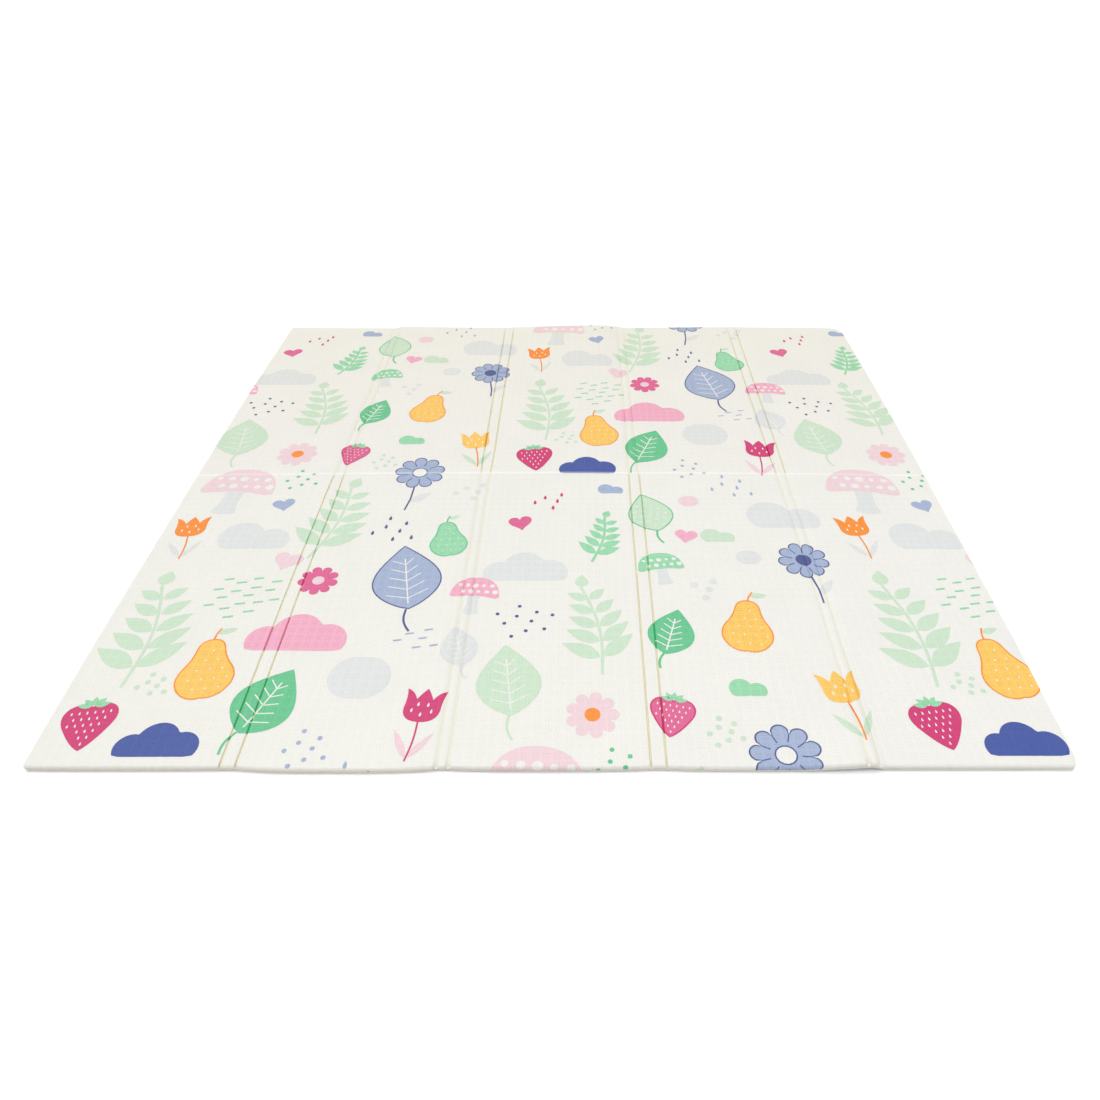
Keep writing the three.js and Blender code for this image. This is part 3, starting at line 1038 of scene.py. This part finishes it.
TOADSTOOLS = [
    {"x": 0.13, "y": 0.85, "size": 0.195, "turn": -5, "cap": "pale_pink"},
    {"x": 0.41, "y": 1.44, "size": 0.11, "turn": 7, "cap": "leaf_green"},
    {"x": 0.805, "y": 0.45, "size": 0.12, "turn": -4, "cap": "pink"},
]
TOADSTOOL_CAP = bent(
    (-0.5, 0.0), (-0.46, 0.50), (0.0, 0.50), (0.46, 0.50), (0.5, 0.0), (0.48, -0.07),
    (0.38, -0.05), (0.0, 0.04), (-0.38, -0.05), (-0.48, -0.07),
)
TOADSTOOL_STEM = bent(
    (-0.12, -0.01), (0.0, 0.03), (0.12, -0.01), (0.09, -0.28), (0.17, -0.46), (0.0, -0.54),
    (-0.17, -0.46), (-0.09, -0.28),
)
SPOT_PITCH = 0.165
SPOTS = (0.046, 0.058, 0.038)

toadstools = Print()
for row in everywhere(TOADSTOOLS):
    toadstools.fill(placed(TOADSTOOL_STEM, row), "pale_grey", 2)
    toadstools.fill(placed(TOADSTOOL_CAP, row), row["cap"], 3)
    for k, (x, y) in enumerate(staggered(TOADSTOOL_CAP, SPOT_PITCH, 0.07)):
        toadstools.convex(placed(mark("dots", x, y, SPOTS[k % 3]), row), "blank", 4)
toadstools.press_on("print_toadstools")


# Pears and strawberries: fruit of flat ink with a drawn outline. The marks of their skin show the
# cream film, and a stalk with a leaf, or a crown of leaves, is printed over them.

FRUIT = [
    {"x": 0.262, "y": 0.25, "size": 0.195, "turn": 9,
     "kind": "pear", "skin": "yellow", "line": "orange"},
    {"x": 0.585, "y": 1.27, "size": 0.185, "turn": -8,
     "kind": "pear", "skin": "yellow", "line": "orange"},
    {"x": 0.715, "y": 0.66, "size": 0.155, "turn": 10,
     "kind": "pear", "skin": "leaf_green", "line": "mid_green"},
    {"x": 0.08, "y": 0.1, "size": 0.14, "turn": 8,
     "kind": "strawberry", "skin": "raspberry", "line": "raspberry"},
    {"x": 0.4, "y": 1.02, "size": 0.12, "turn": -10,
     "kind": "strawberry", "skin": "hot_pink", "line": "raspberry"},
]
PEAR = bent(
    (0.0, 0.34), (0.13, 0.34), (0.15, 0.18), (0.17, 0.06), (0.25, -0.06), (0.36, -0.26),
    (0.20, -0.42), (0.10, -0.50), (0.0, -0.47), (-0.10, -0.50), (-0.20, -0.42), (-0.36, -0.26),
    (-0.25, -0.06), (-0.17, 0.06), (-0.15, 0.18), (-0.13, 0.34),
)
STRAWBERRY = bent(
    (0.0, 0.26), (0.16, 0.36), (0.30, 0.26), (0.44, 0.12), (0.28, -0.12), (0.14, -0.36),
    (0.0, -0.46), (-0.14, -0.36), (-0.28, -0.12), (-0.44, 0.12), (-0.30, 0.26), (-0.16, 0.36),
)
SKIN_MARKS = {"pear": ("dots", 0.13, 0.011), "strawberry": ("drops", 0.105, 0.028)}

fruit = Print()
for row in everywhere(FRUIT):
    skin = PEAR if row["kind"] == "pear" else STRAWBERRY
    fruit.fill(placed(skin, row), row["skin"], 3)
    fruit.band(placed(skin, row), OUTLINE_WIDTH, row["line"], 4, closed=True)
    if row["kind"] == "pear":
        stalk = placed([(0.0, 0.33), (0.02, 0.42), (0.06, 0.50)], row)
        fruit.band(stalk, OUTLINE_WIDTH * 1.2, row["line"], 5)
        fruit.fill(placed(almond((0.03, 0.43), (0.24, 0.47), 0.045), row), "pale_green", 3)
    else:
        for k in range(5):
            turn = math.radians(90 + (k - 2) * 38)
            root = (0.03 * math.cos(turn), 0.27 + 0.02 * math.sin(turn))
            tip = (0.24 * math.cos(turn), 0.28 + 0.17 * math.sin(turn))
            fruit.fill(placed(almond(root, tip, 0.045), row), "leaf_green", 5)
    kind, pitch, size = SKIN_MARKS[row["kind"]]
    for x, y in staggered(skin, pitch, 0.06):
        fruit.convex(placed(mark(kind, x, y, size), row), "blank", 4)
fruit.press_on("print_fruit")


# Hearts and filler marks: single hearts, and clusters of dots, drops and dashes. They are flat ink
# on the film, scattered between the larger motifs.

HEARTS = [
    {"x": 0.06, "y": 1.61, "size": 0.065, "turn": 12, "ink": "hot_pink"},
    {"x": 0.34, "y": 0.57, "size": 0.075, "turn": -14, "ink": "pale_pink"},
    {"x": 0.48, "y": 1.56, "size": 0.06, "turn": -10, "ink": "pink"},
    {"x": 0.27, "y": 0.79, "size": 0.06, "turn": 14, "ink": "slate"},
]
CLUSTERS = [
    {"x": 0.69, "y": 0.32, "size": 0.045, "kind": "dashes", "ink": "slate", "count": 6, "mark": 0.009},
    {"x": 0.575, "y": 0.68, "size": 0.06, "kind": "drops", "ink": "navy", "count": 7, "mark": 0.0085},
    {"x": 0.52, "y": 0.045, "size": 0.05, "kind": "dots", "ink": "slate", "count": 8, "mark": 0.005},
    {"x": 0.27, "y": 0.45, "size": 0.08, "kind": "dashes", "ink": "leaf_green", "count": 17, "mark": 0.011},
    {"x": 0.76, "y": 0.84, "size": 0.045, "kind": "dots", "ink": "pale_grey", "count": 5, "mark": 0.009},
    {"x": 0.5, "y": 1.37, "size": 0.04, "kind": "dots", "ink": "pale_grey", "count": 4, "mark": 0.009},
    {"x": 0.5, "y": 0.98, "size": 0.04, "kind": "dots", "ink": "pale_green", "count": 8, "mark": 0.006},
    {"x": 0.62, "y": 1.76, "size": 0.06, "kind": "drops", "ink": "slate", "count": 7, "mark": 0.0085},
    {"x": 0.09, "y": 1.27, "size": 0.065, "kind": "dots", "ink": "navy", "count": 10, "mark": 0.0045},
    {"x": 0.29, "y": 0.9, "size": 0.05, "kind": "dots", "ink": "mid_green", "count": 8, "mark": 0.005},
    {"x": 0.14, "y": 1.7, "size": 0.045, "kind": "drops", "ink": "raspberry", "count": 5, "mark": 0.009},
    {"x": 0.17, "y": 0.19, "size": 0.035, "kind": "dots", "ink": "pale_green", "count": 7, "mark": 0.006},
]
GOLDEN_ANGLE = math.radians(137.5)
CLUSTER_ACROSS = 1.1
CLUSTER_ALONG = 0.9


def heart_point(a):
    x = 16 * math.sin(a) ** 3
    y = 13 * math.cos(a) - 5 * math.cos(2 * a) - 2 * math.cos(3 * a) - math.cos(4 * a)
    return x / 34, y / 34


HEART = [heart_point(2 * math.pi * k / 36) for k in range(36)]

marks = Print()
for row in everywhere(HEARTS):
    marks.fill(placed(HEART, row), row["ink"], 3)
for row in everywhere(CLUSTERS):
    for k in range(row["count"]):
        reach = row["size"] * math.sqrt((k + 0.4) / row["count"])
        x = row["x"] + reach * math.cos(k * GOLDEN_ANGLE) * CLUSTER_ACROSS
        y = row["y"] + reach * math.sin(k * GOLDEN_ANGLE) * CLUSTER_ALONG
        marks.convex(mark(row["kind"], x, y, row["mark"]), row["ink"], 3)
marks.press_on("print_small_marks")


# The floor under the mat: one plain pale sheet of matt paint, so wide that its edge isn't seen. It
# lies just below the underside, which would else share its plane.

FLOOR_SIZE = 60.0
FLOOR_BELOW = -0.0003
FLOOR_COLOUR = (0.96, 0.96, 0.96, 1.0)
FLOOR_ROUGHNESS = 0.8

floor_mesh = bpy.data.meshes.new("floor")
edge = FLOOR_SIZE / 2
floor_corners = [(-edge, -edge, FLOOR_BELOW), (edge, -edge, FLOOR_BELOW), (edge, edge, FLOOR_BELOW)]
floor_corners.append((-edge, edge, FLOOR_BELOW))
floor_mesh.from_pydata(floor_corners, [], [(0, 1, 2, 3)])
floor_object = bpy.data.objects.new("floor", floor_mesh)
bpy.context.collection.objects.link(floor_object)
floor_shader = Shader("floor_paint")
floor_shader.surface.inputs["Base Color"].default_value = FLOOR_COLOUR
floor_shader.surface.inputs["Roughness"].default_value = FLOOR_ROUGHNESS
floor_mesh.materials.append(floor_shader.material)

# Soft studio light: a very wide soft box high overhead, a little behind and to the left, a weak
# cool one off the front right corner, and a pale surround that is brightest at the horizon.

KEY_FROM = Vector((-0.14, 0.18, 1.0))
KEY_WIDTH = math.radians(55)
KEY_STRENGTH = 2.36
FILL_AT = Vector((2.4, -2.2, 1.9))
FILL_TOWARDS = Vector((0.7, -0.6, 0.0))
FILL_SIZE = 1.5
FILL_POWER = 9.0
FILL_COLOUR = (0.60, 0.70, 1.0)
SURROUND_OVERHEAD = 0.30
SURROUND_HORIZON = 0.65
SURROUND_FALL = 1.5

key = bpy.data.lights.new("key", "SUN")
key.angle = KEY_WIDTH
key.energy = KEY_STRENGTH
key_object = bpy.data.objects.new("key", key)
key_object.matrix_world = KEY_FROM.to_track_quat("Z", "Y").to_matrix().to_4x4()
bpy.context.collection.objects.link(key_object)

fill = bpy.data.lights.new("fill", "AREA")
fill.size = FILL_SIZE
fill.energy = FILL_POWER
fill.color = FILL_COLOUR
fill_object = bpy.data.objects.new("fill", fill)
fill_turn = (FILL_AT - FILL_TOWARDS).to_track_quat("Z", "Y").to_matrix().to_4x4()
fill_object.matrix_world = Matrix.Translation(FILL_AT) @ fill_turn
fill_object.visible_camera = False
bpy.context.collection.objects.link(fill_object)

world = bpy.data.worlds.new("surround")
world.use_nodes = True
background = world.node_tree.nodes["Background"]
background.inputs["Color"].default_value = (1.0, 1.0, 1.0, 1.0)


def surround_math(operation, a, b):
    node = world.node_tree.nodes.new("ShaderNodeMath")
    node.operation = operation
    node.use_clamp = operation == "SUBTRACT"
    for socket, value in zip(node.inputs, (a, b)):
        if isinstance(value, bpy.types.NodeSocket):
            world.node_tree.links.new(value, socket)
        else:
            socket.default_value = value
    return node.outputs[0]


direction = world.node_tree.nodes.new("ShaderNodeTexCoord").outputs["Generated"]
split = world.node_tree.nodes.new("ShaderNodeSeparateXYZ")
world.node_tree.links.new(direction, split.inputs[0])
lowness = surround_math("POWER", surround_math("SUBTRACT", 1.0, split.outputs[2]), SURROUND_FALL)
glow = surround_math("ADD", surround_math("MULTIPLY", lowness, SURROUND_HORIZON), SURROUND_OVERHEAD)
world.node_tree.links.new(glow, background.inputs["Strength"])
bpy.context.scene.world = world
bpy.context.scene.view_settings.view_transform = "Standard"

# The camera: above the front edge, looking down across the mat. Its axis passes a little right of
# the middle of the picture.

CAMERA_AT = Vector((0.0574, -1.7058, 1.2937))
CAMERA_DOWN = math.radians(42.23)
CAMERA_ASIDE = math.radians(0.19)
CAMERA_ROLL = math.radians(0.13)
SENSOR = 36.0
LENS = 25.28
SHIFT = -0.0311

forward = Vector((
    math.sin(CAMERA_ASIDE) * math.cos(CAMERA_DOWN),
    math.cos(CAMERA_ASIDE) * math.cos(CAMERA_DOWN),
    -math.sin(CAMERA_DOWN),
))
level = Vector((math.cos(CAMERA_ASIDE), -math.sin(CAMERA_ASIDE), 0.0))
upright = level.cross(forward)
right = level * math.cos(CAMERA_ROLL) + upright * math.sin(CAMERA_ROLL)
up = upright * math.cos(CAMERA_ROLL) - level * math.sin(CAMERA_ROLL)
camera_data = bpy.data.cameras.new("camera")
camera_data.sensor_width = SENSOR
camera_data.lens = LENS
camera_data.shift_x = SHIFT
camera = bpy.data.objects.new("camera", camera_data)
camera.matrix_world = Matrix.Translation(CAMERA_AT) @ Matrix((right, up, -forward)).transposed().to_4x4()
bpy.context.collection.objects.link(camera)
bpy.context.scene.camera = camera
